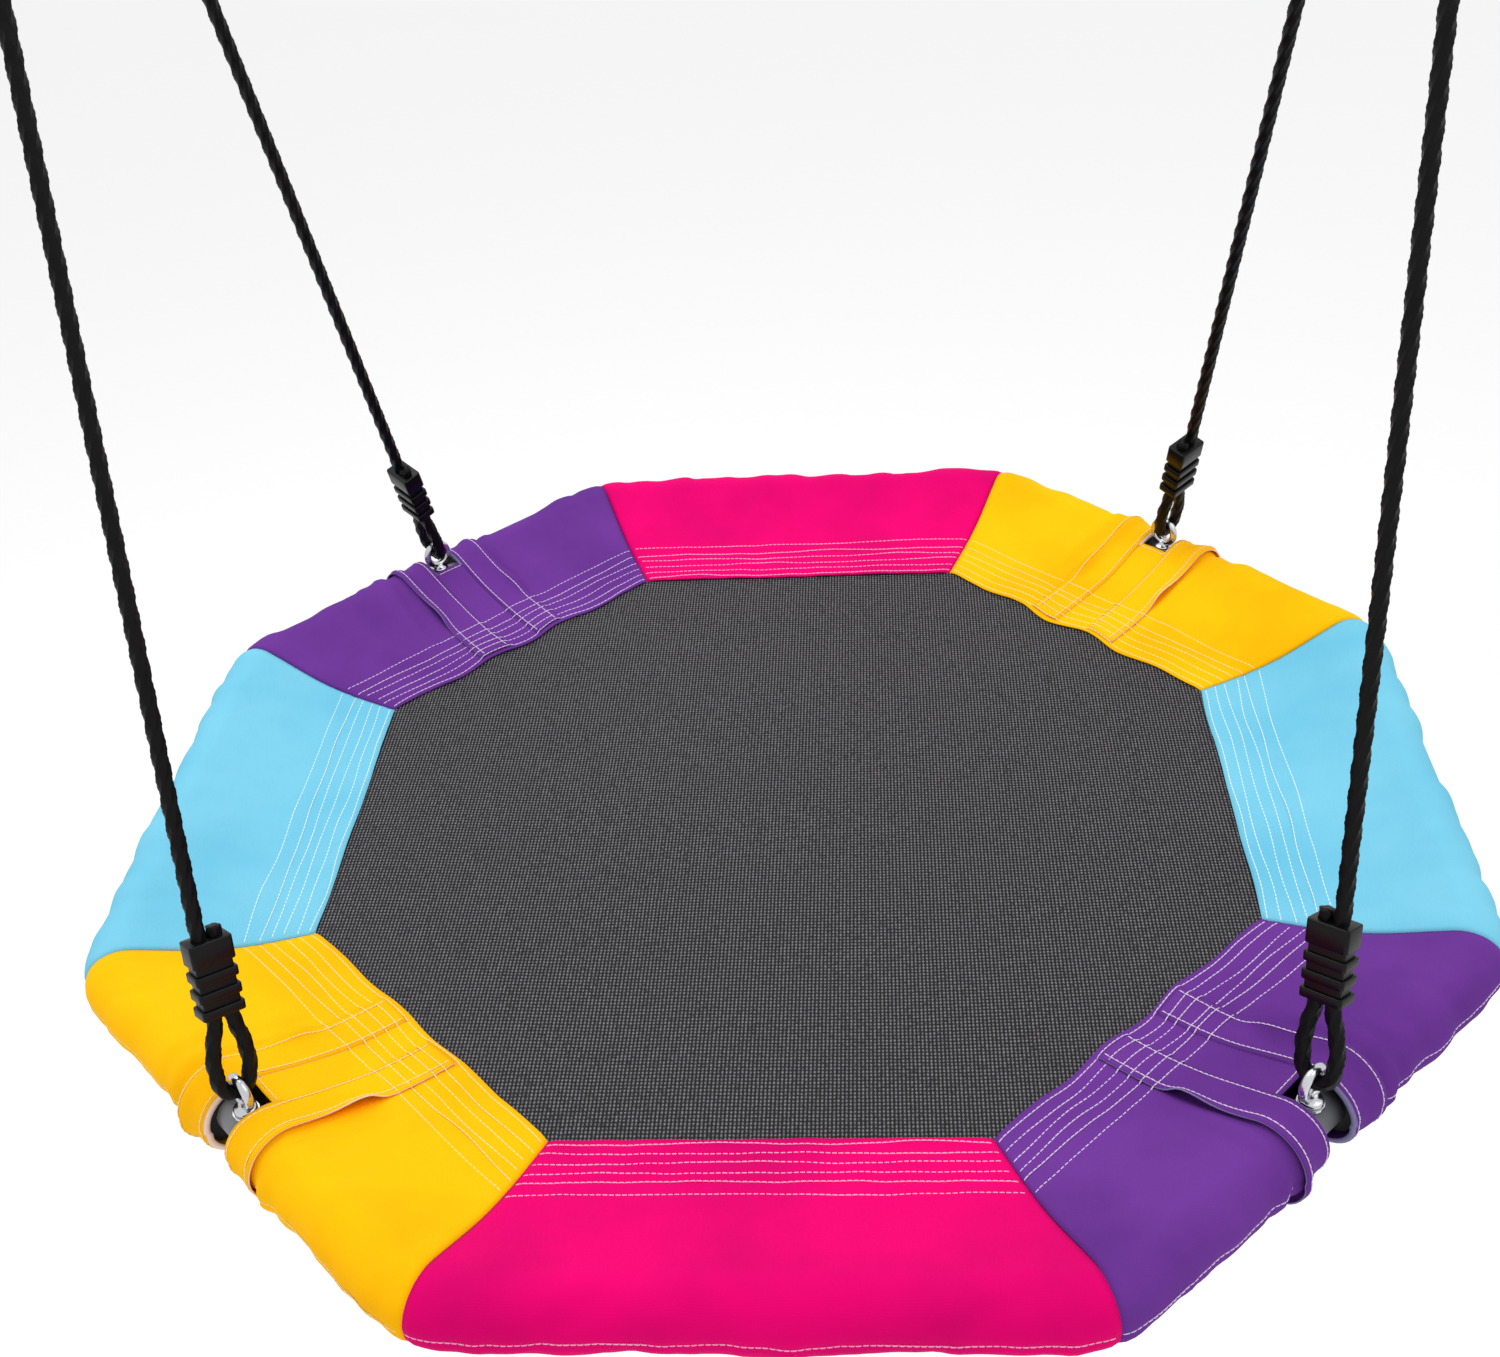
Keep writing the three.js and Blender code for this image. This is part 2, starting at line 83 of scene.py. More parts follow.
# ---- Ropes
# Four lengths of 10 mm braided black polyester rope. Each is looped over its hanging ring and clamped,
# runs down through its adjuster, loops round the eye bolt and goes back up into the adjuster.
MM = 0.001
TUBE_APOTHEM = 0.4825
EYE_HEIGHT = 0.0327
EYE_RADIUS = 0.01075
HANGER_X = 0.417
RING_HEIGHT = 1.170
RING_RADIUS = 0.022
ROPE_OFFSET_ON_RING = 0.0056
CORNERS = {"front_left": (-1, -1), "front_right": (1, -1), "back_right": (1, 1), "back_left": (-1, 1)}
RING_LOOP = [
    (-5.3, -79), (-5.3, -66), (-5.3, -50), (-7.6, -34), (-10.6, -18), (-11.3, -7),
    (-11.2, -0.8), (-9.7, 4.8), (-5.6, 8.9), (0, 10.4), (5.6, 8.9), (9.7, 4.8),
    (11.2, -0.8), (11.3, -7), (10.6, -18), (7.6, -34), (5.3, -50), (5.3, -66), (5.3, -79),
]
EYE_LOOP = [
    (4.6, 112), (4.6, 95), (4.6, 72), (4.6, 48), (6.6, 37), (10.3, 23),
    (11.6, 11), (10.8, 1.6), (9.35, -3.8), (5.4, -7.75), (0, -9.2), (-5.4, -7.75),
    (-9.35, -3.8), (-10.8, 1.6), (-11.9, 11), (-11, 23), (-8, 37), (-6, 48),
    (-6, 72), (-6, 95), (-6, 106),
]
ROPE_DIAMETER = 0.010
BRAID_STRANDS = 5
BRAID_PITCH = 0.016
BRAID_DEPTH = 0.0011
ROPE_RINGS_PER_MM = 0.9


def linear(hex_colour):
    """An sRGB hex colour as linear red, green, blue and alpha."""
    channels = [int(hex_colour[i : i + 2], 16) / 255 for i in (1, 3, 5)]
    return tuple(c / 12.92 if c <= 0.04045 else ((c + 0.055) / 1.055) ** 2.4 for c in channels) + (1.0,)


def new_material(name):
    material = bpy.data.materials.new(name)
    material.use_nodes = True
    return material, material.node_tree


def add_node(tree, kind, settings=None, links=None):
    """Adds a node. settings are its properties or inputs, and links are the sockets to plug in."""
    node = tree.nodes.new(kind)
    for key, value in (settings or {}).items():
        if isinstance(key, str) and hasattr(node, key):
            setattr(node, key, value)
        else:
            node.inputs[key].default_value = value
    for key, socket in (links or {}).items():
        tree.links.new(socket, node.inputs[key])
    return node


def per_metre(millimetres, bands=False):
    """A pattern's scale, from the size of one repeat. Bands repeat ten over pi times in a unit."""
    return 1000 / millimetres * (math.pi / 10 if bands else 1)


def noise_on(tree, millimetres, detail):
    """Noise with lumps of a real size, held to the piece."""
    place = add_node(tree, "ShaderNodeTexCoord")
    settings = {"Scale": per_metre(millimetres), "Detail": detail}
    return add_node(tree, "ShaderNodeTexNoise", settings, {"Vector": place.outputs["Object"]}).outputs[0]


def tint(tree, value, dark, light, start=0.0, end=1.0):
    """Colours the piece between two linear colours, by a value."""
    ramp = add_node(tree, "ShaderNodeValToRGB", links={"Fac": value})
    for element, colour, position in zip(ramp.color_ramp.elements, (dark, light), (start, end)):
        element.color = colour
        element.position = position
    tree.links.new(ramp.outputs[0], tree.nodes["Principled BSDF"].inputs["Base Color"])


def relief(tree, height, strength, distance):
    """Raises the surface's shading by a value."""
    bump = add_node(tree, "ShaderNodeBump", {"Strength": strength, "Distance": distance}, {"Height": height})
    tree.links.new(bump.outputs[0], tree.nodes["Principled BSDF"].inputs["Normal"])


def mesh_object(name, points, faces, material):
    mesh = bpy.data.meshes.new(name)
    mesh.from_pydata([tuple(p) for p in points], [], faces)
    mesh.materials.append(material)
    mesh.polygons.foreach_set("use_smooth", [True] * len(mesh.polygons))
    mesh.update()
    obj = bpy.data.objects.new(name, mesh)
    bpy.context.scene.collection.objects.link(obj)
    return obj


def rope_frames(sx, sy):
    radial = Vector((sx, sy, 0)).normalized()
    eye = radial * TUBE_APOTHEM + Vector((0, 0, EYE_HEIGHT))
    drop = math.sqrt(RING_RADIUS**2 - ROPE_OFFSET_ON_RING**2)
    on_ring = Vector((sx * HANGER_X + sx * sy * ROPE_OFFSET_ON_RING, 0, RING_HEIGHT - drop))
    lean = (on_ring - eye).normalized()
    on_eye = eye + (lean - radial * lean.dot(radial)).normalized() * EYE_RADIUS
    along = (on_ring - on_eye).normalized()
    across_eye = (radial - along * radial.dot(along)).normalized()
    outward = Vector((0, sy, 0))
    across_ring = (outward - along * outward.dot(along)).normalized()
    return {
        "ring": centre + on_ring, "eye": centre + on_eye, "along": along,
        "across_eye": across_eye, "across_ring": across_ring,
    }


def smooth_route(points, spacing):
    """Points on a centripetal curve through the given ones, at even spacing."""
    dense = []
    padded = [points[0] * 2 - points[1], *points, points[-1] * 2 - points[-2]]
    for a, b, c, d in zip(padded, padded[1:], padded[2:], padded[3:]):
        knots = [0.0]
        for p, q in ((a, b), (b, c), (c, d)):
            knots.append(knots[-1] + max((q - p).length, 1e-6) ** 0.5)
        steps = max(2, int((c - b).length / 0.001))
        for i in range(steps):
            t = knots[1] + (knots[2] - knots[1]) * i / steps
            ab = a.lerp(b, (t - knots[0]) / (knots[1] - knots[0]))
            bc = b.lerp(c, (t - knots[1]) / (knots[2] - knots[1]))
            cd = c.lerp(d, (t - knots[2]) / (knots[3] - knots[2]))
            abc = ab.lerp(bc, (t - knots[0]) / (knots[2] - knots[0]))
            bcd = bc.lerp(cd, (t - knots[1]) / (knots[3] - knots[1]))
            dense.append(abc.lerp(bcd, (t - knots[1]) / (knots[2] - knots[1])))
    dense.append(points[-1].copy())
    even, carried = [dense[0]], 0.0
    for p, q in zip(dense, dense[1:]):
        carried += (q - p).length
        if carried >= spacing:
            even.append(q)
            carried = 0.0
    if (even[-1] - dense[-1]).length > spacing / 3:
        even.append(dense[-1])
    return even


def route_length(points):
    return sum((q - p).length for p, q in zip(points, points[1:]))


def sweep(route, sides, radius_at, closed=False):
    """Points and faces of a tube along a route. radius_at takes the angle and the length so far."""
    points, faces, run = [], [], 0.0
    count = len(route)
    tangents = []
    for i in range(count):
        before = route[(i - 1) % count] if closed else route[max(i - 1, 0)]
        after = route[(i + 1) % count] if closed else route[min(i + 1, count - 1)]
        tangents.append((after - before).normalized())
    side = tangents[0].orthogonal().normalized()
    for i, (p, t) in enumerate(zip(route, tangents)):
        if i:
            run += (p - route[i - 1]).length
            side = (side - t * side.dot(t)).normalized()
        other = t.cross(side)
        for j in range(sides):
            a = 2 * math.pi * j / sides
            points.append(p + (side * math.cos(a) + other * math.sin(a)) * radius_at(a, run))
    for i in range(count if closed else count - 1):
        for j in range(sides):
            k = (j + 1) % sides
            n = (i + 1) % count
            faces.append((i * sides + j, i * sides + k, n * sides + k, n * sides + j))
    if not closed:
        last = (count - 1) * sides
        faces.append(tuple(range(sides - 1, -1, -1)))
        faces.append(tuple(last + j for j in range(sides)))
    return points, faces


def braid_radius(angle, run):
    turn = run * 2 * math.pi / BRAID_PITCH
    over_strand = math.cos(BRAID_STRANDS * angle + turn)
    under_strand = math.cos(BRAID_STRANDS * angle - turn)
    bump = max(over_strand * (0.6 + 0.4 * under_strand), under_strand * (0.6 - 0.4 * over_strand))
    return ROPE_DIAMETER / 2 - BRAID_DEPTH / 2 + BRAID_DEPTH * bump


# Braided polyester: black yarn with a faint grey shine on each strand and fine fuzz between them.
rope_material, tree = new_material("braided_polyester_rope")
shader = tree.nodes["Principled BSDF"]
yarn = noise_on(tree, 1.1, 4)
worn = noise_on(tree, 17, 3)
blend_yarn = add_node(tree, "ShaderNodeMath", {"operation": "MULTIPLY"}, {0: yarn, 1: worn})
tint(tree, blend_yarn.outputs[0], linear("#020203"), linear("#101012"), end=0.45)
relief(tree, yarn, 0.5, 0.0003)
shader.inputs["Roughness"].default_value = 0.42
shader.inputs["Specular IOR Level"].default_value = 0.13

for corner, (sx, sy) in CORNERS.items():
    f = rope_frames(sx, sy)
    chosen = [f["ring"] + f["across_ring"] * a * MM + f["along"] * b * MM for a, b in RING_LOOP]
    chosen += [f["eye"] + f["across_eye"] * a * MM + f["along"] * b * MM for a, b in EYE_LOOP]
    route = smooth_route(chosen, MM / ROPE_RINGS_PER_MM)
    points, faces = sweep(route, 20, braid_radius)
    rope = mesh_object(f"rope_{corner}_braid", points, faces, rope_material)
    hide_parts(f"rope_{corner}")
    body = "left_ropes" if sx < 0 else "right_ropes"
    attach(rope, body)
    tuple(chosen[-1])
    route_length(route)

# ---- Border cloths
# Eight panels of matt coated Oxford cloth in four colours wrap the tube frame and are sewn to the mesh.
# Each is one cloth from the mesh edge, over the tube and back under it, pulled into shallow folds.
ACROSS_FLATS = 1.016
BORDER_WIDTH = 0.160
CLOTH = 0.0012
WRAP_RADIUS = 0.0243 + CLOTH
INNER_APOTHEM = ACROSS_FLATS / 2 - BORDER_WIDTH
MITRE = math.tan(math.pi / 8)
TOP_EDGE = -SEAT_DROP + 0.0020
BOTTOM_EDGE = -SEAT_DROP - 0.0020
SEAM_ROWS = (0.004, 0.0125, 0.0215, 0.0305, 0.0385, 0.0500)
CUTOUT_HALF = 0.014
CUTOUT_APOTHEM = TUBE_APOTHEM - 0.014
CORNER_RADIUS = 0.090
CORNER_DROP = CORNER_RADIUS * (1 - math.cos(math.pi / 8))
CORNER_REACH = CORNER_RADIUS * math.sin(math.pi / 8)
HEM_ANGLE = math.radians(-3)
TOP_TOUCH = math.radians(112)
BOTTOM_TOUCH = math.radians(-86)
GATHERS = {1: 0.0026, 3: 0.0045, 5: 0.0036, 7: 0.0012}
GRID = 0.0048
BROAD_FOLD, NARROW_FOLD, EDGE_RIPPLE = 0.0030, 0.0015, 0.0006
ROW_DEPTH, ROW_SPREAD = 0.0006, 0.0016
BEAD_HEIGHT, BEAD_PITCH = 0.0006, 0.052
HEM_PULL, HEM_DEPTH, HEM_SPREAD = 0.0013, 0.0012, 0.0022
CREASE_DEPTH, CREASE_SPREAD = 0.0015, 0.14
MITRE_DEPTH, MITRE_SPREAD = 0.0016, 0.0035
STRIP_GATHER = 0.0022
# a fold goes no deeper than this, so that the cloth lies on the foam and not in it
FOAM_CLEARANCE = 0.0021
PANELS = [
    ("front", "pink"), ("front_right", "purple"), ("right", "blue"), ("back_right", "yellow"),
    ("back", "pink"), ("back_left", "purple"), ("left", "blue"), ("front_left", "yellow"),
]
CLOTH_COLOURS = {"pink": "#E4006C", "yellow": "#FFBE08", "blue": "#77C3DC", "purple": "#6A3691"}
SHADE_COLOURS = {"pink": "#CC0064", "yellow": "#F5AC00", "blue": "#68B9D6", "purple": "#5D2D82"}


def bezier(a, b, c, d, t):
    u = 1 - t
    return a * u**3 + b * 3 * u * u * t + c * 3 * u * t * t + d * t**3


def border_section():
    """The outside of a panel's section, from its top mesh edge to its bottom one: (apothem, height) points."""
    tube = Vector((TUBE_APOTHEM, 0))

    def touch(angle):
        return tube + Vector((math.cos(angle), math.sin(angle))) * WRAP_RADIUS

    start = Vector((INNER_APOTHEM, TOP_EDGE))
    leave = Vector((-math.sin(TOP_TOUCH), math.cos(TOP_TOUCH)))
    rise = start + Vector((0.058, 0.004))
    on_tube = touch(TOP_TOUCH)
    points = [bezier(start, rise, on_tube + leave * 0.05, on_tube, i / 24) for i in range(24)]
    points += [touch(TOP_TOUCH + (BOTTOM_TOUCH - TOP_TOUCH) * i / 24) for i in range(24)]
    end = Vector((INNER_APOTHEM, BOTTOM_EDGE))
    off_tube = touch(BOTTOM_TOUCH)
    level = (off_tube - Vector((0.04, 0)), end + Vector((0.05, 0)))
    points += [bezier(off_tube, *level, end, i / 20) for i in range(21)]
    return points


section = border_section()
section_runs = [0.0]
for p, q in zip(section, section[1:]):
    section_runs.append(section_runs[-1] + (q - p).length)
SECTION_LENGTH = section_runs[-1]
HEM_RUN = section_runs[24] + (TOP_TOUCH - HEM_ANGLE) * WRAP_RADIUS


def on_section(run):
    """Apothem, height and outward normal at a distance along the section."""
    run = min(max(run, 0.0), SECTION_LENGTH - 1e-6)
    i = next(k for k in range(len(section_runs) - 1) if section_runs[k + 1] > run)
    t = (run - section_runs[i]) / (section_runs[i + 1] - section_runs[i])
    point = section[i].lerp(section[i + 1], t)

    def tangent(k):
        k = min(max(k, 1), len(section) - 2)
        return (section[k + 1] - section[k - 1]).normalized()

    along = tangent(i).lerp(tangent(i + 1), t).normalized()
    return point, Vector((-along.y, along.x))


def run_at_apothem(apothem, bottom=False):
    """Where the section passes an apothem, on its top or its bottom half."""
    order = range(len(section) - 1, 0, -1) if bottom else range(len(section) - 1)
    for i in order:
        a, b = (section[i - 1], section[i]) if bottom else (section[i], section[i + 1])
        if min(a.x, b.x) <= apothem <= max(a.x, b.x):
            base = section_runs[i - 1] if bottom else section_runs[i]
            return base + (b - a).length * abs((apothem - a.x) / (b.x - a.x))
    raise ValueError(apothem)


def smoothstep(x):
    x = min(max(x, 0.0), 1.0)
    return x * x * (3 - 2 * x)


def hump(distance, spread):
    """One at no distance, and smoothly less on both sides of it."""
    return math.exp(-((distance / spread) ** 2))


def outer_share(apothem):
    """How much of the corner's rounding applies: none by the mesh, all of it round the tube."""
    return smoothstep((apothem - 0.40) / 0.07)


def panel_half(run):
    """Half the panel's length at a place on its section, up to the mitre seam."""
    apothem = on_section(run)[0].x
    return (apothem - CORNER_DROP * outer_share(apothem)) * MITRE


def corner_inset(apothem, from_mitre):
    """How far a corner is rounded in from the straight side."""
    short = max(CORNER_REACH - from_mitre, 0.0)
    return (CORNER_RADIUS - math.sqrt(CORNER_RADIUS**2 - short**2)) * outer_share(apothem)


def fold_height(panel, along, run):
    """How far the cloth stands off its plain section, for folds, sewn rows and mitre seams."""
    from_mitre = max(panel_half(run) - abs(along), 0.0)
    from_edge = min(run, SECTION_LENGTH - run)
    free = smoothstep((from_edge - 0.035) / 0.05)
    held = smoothstep(from_mitre / 0.03)
    seed = panel * 17.3
    broad = noise.noise(Vector((along * 16, run * 7, seed)))
    narrow = noise.noise(Vector((along * 46, run * 13 + along * 9, seed + 5)))
    height = (BROAD_FOLD * broad + NARROW_FOLD * narrow) * free * held
    ripple = noise.noise(Vector((along * 60, run * 25, seed + 9)))
    height += EDGE_RIPPLE * ripple * (1 - free) * held
    if run < 0.07:
        for row in SEAM_ROWS:
            height -= ROW_DEPTH * hump(run - row, ROW_SPREAD)
    bead = math.sin(along * 2 * math.pi / BEAD_PITCH + 3 * noise.noise(Vector((along * 8, seed, 1))))
    height += BEAD_HEIGHT * bead * hump(run - HEM_RUN + 0.015, 0.035) * held
    pulled = noise.noise(Vector((along * 70, run * 6, seed + 21)))
    height += HEM_PULL * pulled * hump(run - HEM_RUN, 0.022) * held
    crease = noise.noise(Vector((along * 19 + run * 5, run * 9 - along * 6, seed + 33)))
    height -= CREASE_DEPTH * hump(crease, CREASE_SPREAD) * hump(run - HEM_RUN + 0.03, 0.045) * held
    height -= HEM_DEPTH * hump(run - HEM_RUN, HEM_SPREAD)
    height -= MITRE_DEPTH * hump(from_mitre, MITRE_SPREAD)
    if panel % 2:
        gathered = math.sin(along * 260 + run * 30) * smoothstep((run - 0.01) / 0.03)
        height += STRIP_GATHER * hump(abs(along) - 0.05, 0.02) * gathered * free
    return max(height, -FOAM_CLEARANCE)


def edge_wave(panel, along):
    """How far the mesh edge of the cloth wanders."""
    wave = 0.0018 * noise.noise(Vector((along * 14, panel * 3.1, 2)))
    if panel % 2:
        wave += GATHERS[panel] * hump(along, 0.11) * math.sin(along * 78 + panel)
    return wave


def cloth_point(panel, along, run, lift=0.0):
    point, out = on_section(run)
    point = point.copy()
    near = max(0.0, 1 - min(run, SECTION_LENGTH - run) / 0.05)
    point.x += edge_wave(panel, along) * near
    point.x -= corner_inset(point.x, max(panel_half(run) - abs(along), 0.0))
    point += out * (fold_height(panel, along, run) + lift)
    turn = panel * math.pi / 4
    local = Vector((along, -point.x, point.y))
    return centre + Matrix.Rotation(turn, 3, "Z") @ local


def solid_sheet(obj, thickness, rim=0):
    """Gives a sheet its thickness on its inner side."""
    layer = obj.modifiers.new("thickness", "SOLIDIFY")
    layer.thickness = thickness
    layer.offset = -1
    layer.material_offset_rim = rim
    return layer


def spread(low, high, step):
    count = max(1, round((high - low) / step))
    return [low + (high - low) * i / count for i in range(count + 1)]


def cloth_material(name, base, shade):
    """Coated Oxford polyester: a matt plain weave, drawn coarser than its 0.4 mm thread so that it shows."""
    material, tree = new_material(name)
    shader = tree.nodes["Principled BSDF"]
    tint(tree, noise_on(tree, 110, 3), linear(shade), linear(base), 0.3, 0.6)
    place = add_node(tree, "ShaderNodeTexCoord")
    bands = {"Scale": per_metre(1.5, bands=True), "Distortion": 0.4, "wave_type": "BANDS"}
    threads_each_way = [
        add_node(
            tree, "ShaderNodeTexWave", {**bands, "bands_direction": way}, {"Vector": place.outputs["Object"]}
        ).outputs["Fac"]
        for way in "XY"
    ]
    weave = add_node(tree, "ShaderNodeMath", {"operation": "MULTIPLY"}, dict(enumerate(threads_each_way)))
    crumple = noise_on(tree, 18, 5)
    both = add_node(
        tree, "ShaderNodeMath", {"operation": "MULTIPLY_ADD", 1: 0.25}, {0: weave.outputs[0], 2: crumple}
    )
    relief(tree, both.outputs[0], 0.22, 0.0016)
    shader.inputs["Roughness"].default_value = 0.8
    shader.inputs["Specular IOR Level"].default_value = 0.05
    return material


cloths = {
    colour: cloth_material(f"oxford_cloth_{colour}", CLOTH_COLOURS[colour], SHADE_COLOURS[colour])
    for colour in CLOTH_COLOURS
}
cut_top = run_at_apothem(CUTOUT_APOTHEM)
cut_bottom = run_at_apothem(CUTOUT_APOTHEM, bottom=True)

for panel, (side, colour) in enumerate(PANELS):
    cut = panel % 2 == 1
    runs = spread(0, cut_top, GRID) + spread(cut_top, cut_bottom, GRID * 0.6)[1:]
    runs += spread(cut_bottom, SECTION_LENGTH, GRID * 1.5)[1:]
    middle = spread(-CUTOUT_HALF, CUTOUT_HALF, GRID)
    arms = round(0.19 / GRID)
    points, faces = [], []
    for run in runs:
        limit = panel_half(run)
        left = [-limit + (limit - CUTOUT_HALF) * i / arms for i in range(arms)]
        row = left + middle + [-a for a in reversed(left)]
        points += [cloth_point(panel, along, run) for along in row]
    width = 2 * arms + len(middle)
    for i in range(len(runs) - 1):
        open_row = cut and runs[i] >= cut_top - 1e-9 and runs[i + 1] <= cut_bottom + 1e-9
        for j in range(width - 1):
            if open_row and arms <= j < width - 1 - arms:
                continue
            a = i * width + j
            faces.append((a, a + width, a + width + 1, a + 1))
    cloth = mesh_object(f"border_cloth_{side}", points, faces, cloths[colour])
    solid_sheet(cloth, CLOTH * 0.8)
    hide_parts(f"border_{side}")
    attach(cloth, "platform")

# ---- Reinforcing strips
# Beside each eye bolt two doubled strips of the same cloth are sewn over the border from edge to edge.
# Their inner edge lines the cutout, and their outer edge is left loose and stands up a little.
STRIP_WIDTH = 0.031
STRIP_START = CUTOUT_HALF + 0.0003
STRIP_INSET = 0.005
STRIP_THICKNESS = 0.0019
LOOSE_LIFT, MOUTH_LIFT, TUCK = 0.0036, 0.0040, 0.0016
MOUTH_RUN, MOUTH_SPREAD = 0.078, 0.019
LINING_COLOURS = {"purple": "#7F7AA0", "yellow": "#F4D2C0"}


def strip_lift(side, across, run):
    """Height of a strip's top above the border: flat where it is sewn, loose at its outer edge."""
    loose = smoothstep((across - 0.018) / 0.013)
    middle = smoothstep((run - 0.052) / 0.02) * smoothstep((SECTION_LENGTH - 0.07 - run) / 0.04)
    mouth = hump(run - MOUTH_RUN, MOUTH_SPREAD)
    wander = 0.7 + 0.5 * noise.noise(Vector((run * 22, side * 3.7, 4)))
    by_cutout = smoothstep((run - cut_top + 0.008) / 0.006) * smoothstep((cut_bottom + 0.004 - run) / 0.006)
    tucked = (1 - smoothstep(across / 0.004)) * (1 - by_cutout)
    return STRIP_THICKNESS - TUCK * tucked + (LOOSE_LIFT * wander + MOUTH_LIFT * mouth) * loose * middle


linings = {
    colour: cloth_material(f"lining_cloth_{colour}", hex_colour, hex_colour)
    for colour, hex_colour in LINING_COLOURS.items()
}
for panel, (side, colour) in enumerate(PANELS):
    if panel % 2 == 0:
        continue
    for letter, sign in (("a", -1), ("b", 1)):
        runs = spread(STRIP_INSET, SECTION_LENGTH - STRIP_INSET, 0.004)
        offsets = spread(0, STRIP_WIDTH, 0.003)
        points = [
            cloth_point(panel, sign * (STRIP_START + a), run, strip_lift(panel + sign, a, run))
            for run in runs
            for a in offsets
        ]
        width = len(offsets)
        faces = []
        for i in range(len(runs) - 1):
            for j in range(width - 1):
                a = i * width + j
                face = (a, a + width, a + width + 1, a + 1)
                faces.append(face if sign > 0 else face[::-1])
        strip = mesh_object(f"strip_cloth_{side}_{letter}", points, faces, cloths[colour])
        strip.data.materials.append(linings[colour])
        solid_sheet(strip, 0.0011, rim=1)
        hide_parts(f"strip_{side}_{letter}")
        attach(strip, "platform")
    # the pale lining shows as a turned lip at each side of the cutout
    for letter, sign in (("a", -1), ("b", 1)):
        runs = spread(cut_top - 0.004, cut_bottom + 0.003, 0.003)
        lip = ((0.0012, 0.0012), (0.0002, 0.0014), (-0.0008, 0.0008), (-0.0012, -0.0006), (-0.0008, -0.0024))
        points = [cloth_point(panel, sign * (CUTOUT_HALF + a), run, h) for run in runs for a, h in lip]
        width = len(lip)
        faces = []
        for i in range(len(runs) - 1):
            for j in range(width - 1):
                a = i * width + j
                face = (a, a + width, a + width + 1, a + 1)
                faces.append(face if sign < 0 else face[::-1])
        lining = mesh_object(f"cutout_lining_{side}_{letter}", points, faces, linings[colour])
        solid_sheet(lining, 0.0005)
        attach(lining, "platform")

# ---- Stitching
# Pale polyester thread in 4 mm lockstitches: six rows hold the mesh between the two halves of each
# border cloth, one closes the cloth under the tube, and two hold each strip.
STITCH = 0.0039
STITCH_PITCH = 0.0041
THREAD_RADIUS = 0.00046
THREAD_COLOURS = {"pink": "#FFB4DC", "yellow": "#FFE79A", "blue": "#E9FBFF", "purple": "#E3CFEE"}


def thread_material(name, hex_colour):
    """Twisted polyester thread: pale, with a soft shine."""
    material, tree = new_material(name)
    shader = tree.nodes["Principled BSDF"]
    place = add_node(tree, "ShaderNodeTexCoord")
    twist = add_node(
        tree, "ShaderNodeTexWave",
        {"Scale": per_metre(1.0, bands=True), "Distortion": 1.5, "bands_direction": "DIAGONAL"},
        {"Vector": place.outputs["Object"]},
    )
    r, g, b, a = linear(hex_colour)
    tint(tree, twist.outputs["Fac"], (r * 0.8, g * 0.8, b * 0.8, a), (r, g, b, a))
    shader.inputs["Roughness"].default_value = 0.5
    return material


threads = {colour: thread_material(f"thread_{colour}", code) for colour, code in THREAD_COLOURS.items()}


def add_stitch(points, faces, start, end, up):
    """One stitch: a short thread that dives into the cloth at both ends."""
    along = end - start
    side = along.cross(up).normalized()
    base = len(points)
    rings = ((0.0, 0.0, 0.6), (0.2, 0.00035, 1.0), (0.8, 0.00035, 1.0), (1.0, 0.0, 0.6))
    for t, height, share in rings:
        middle = start + along * t + up * height
        for j in range(5):
            a = 2 * math.pi * j / 5
            points.append(middle + (side * math.cos(a) + up * math.sin(a)) * THREAD_RADIUS * share)
    for i in range(3):
        for j in range(5):
            k = (j + 1) % 5
            faces.append(
                (base + i * 5 + j, base + (i + 1) * 5 + j, base + (i + 1) * 5 + k, base + i * 5 + k)
            )
    faces.append(tuple(base + j for j in range(5)))
    faces.append(tuple(base + 15 + j for j in range(4, -1, -1)))


def sew(points, faces, place_at, length):
    """Stitches along a row. place_at gives the surface point at a distance, raised by a lift."""
    for i in range(int(length / STITCH_PITCH)):
        a = i * STITCH_PITCH
        start, end = place_at(a, 0), place_at(a + STITCH, 0)
        up = (place_at(a + STITCH / 2, 0.002) - place_at(a + STITCH / 2, 0)).normalized()
        add_stitch(points, faces, start, end, up)


def long_row(panel, run, seed, from_mitre):
    """A row along a border side, with the small wander of a hand-guided machine."""
    half = panel_half(run) - from_mitre

    def place_at(a, lift):
        along = -half + a
        wander = 0.0028 * noise.noise(Vector((along * 15, seed, panel)))
        return cloth_point(panel, along, run + wander, lift)

    return place_at, 2 * half


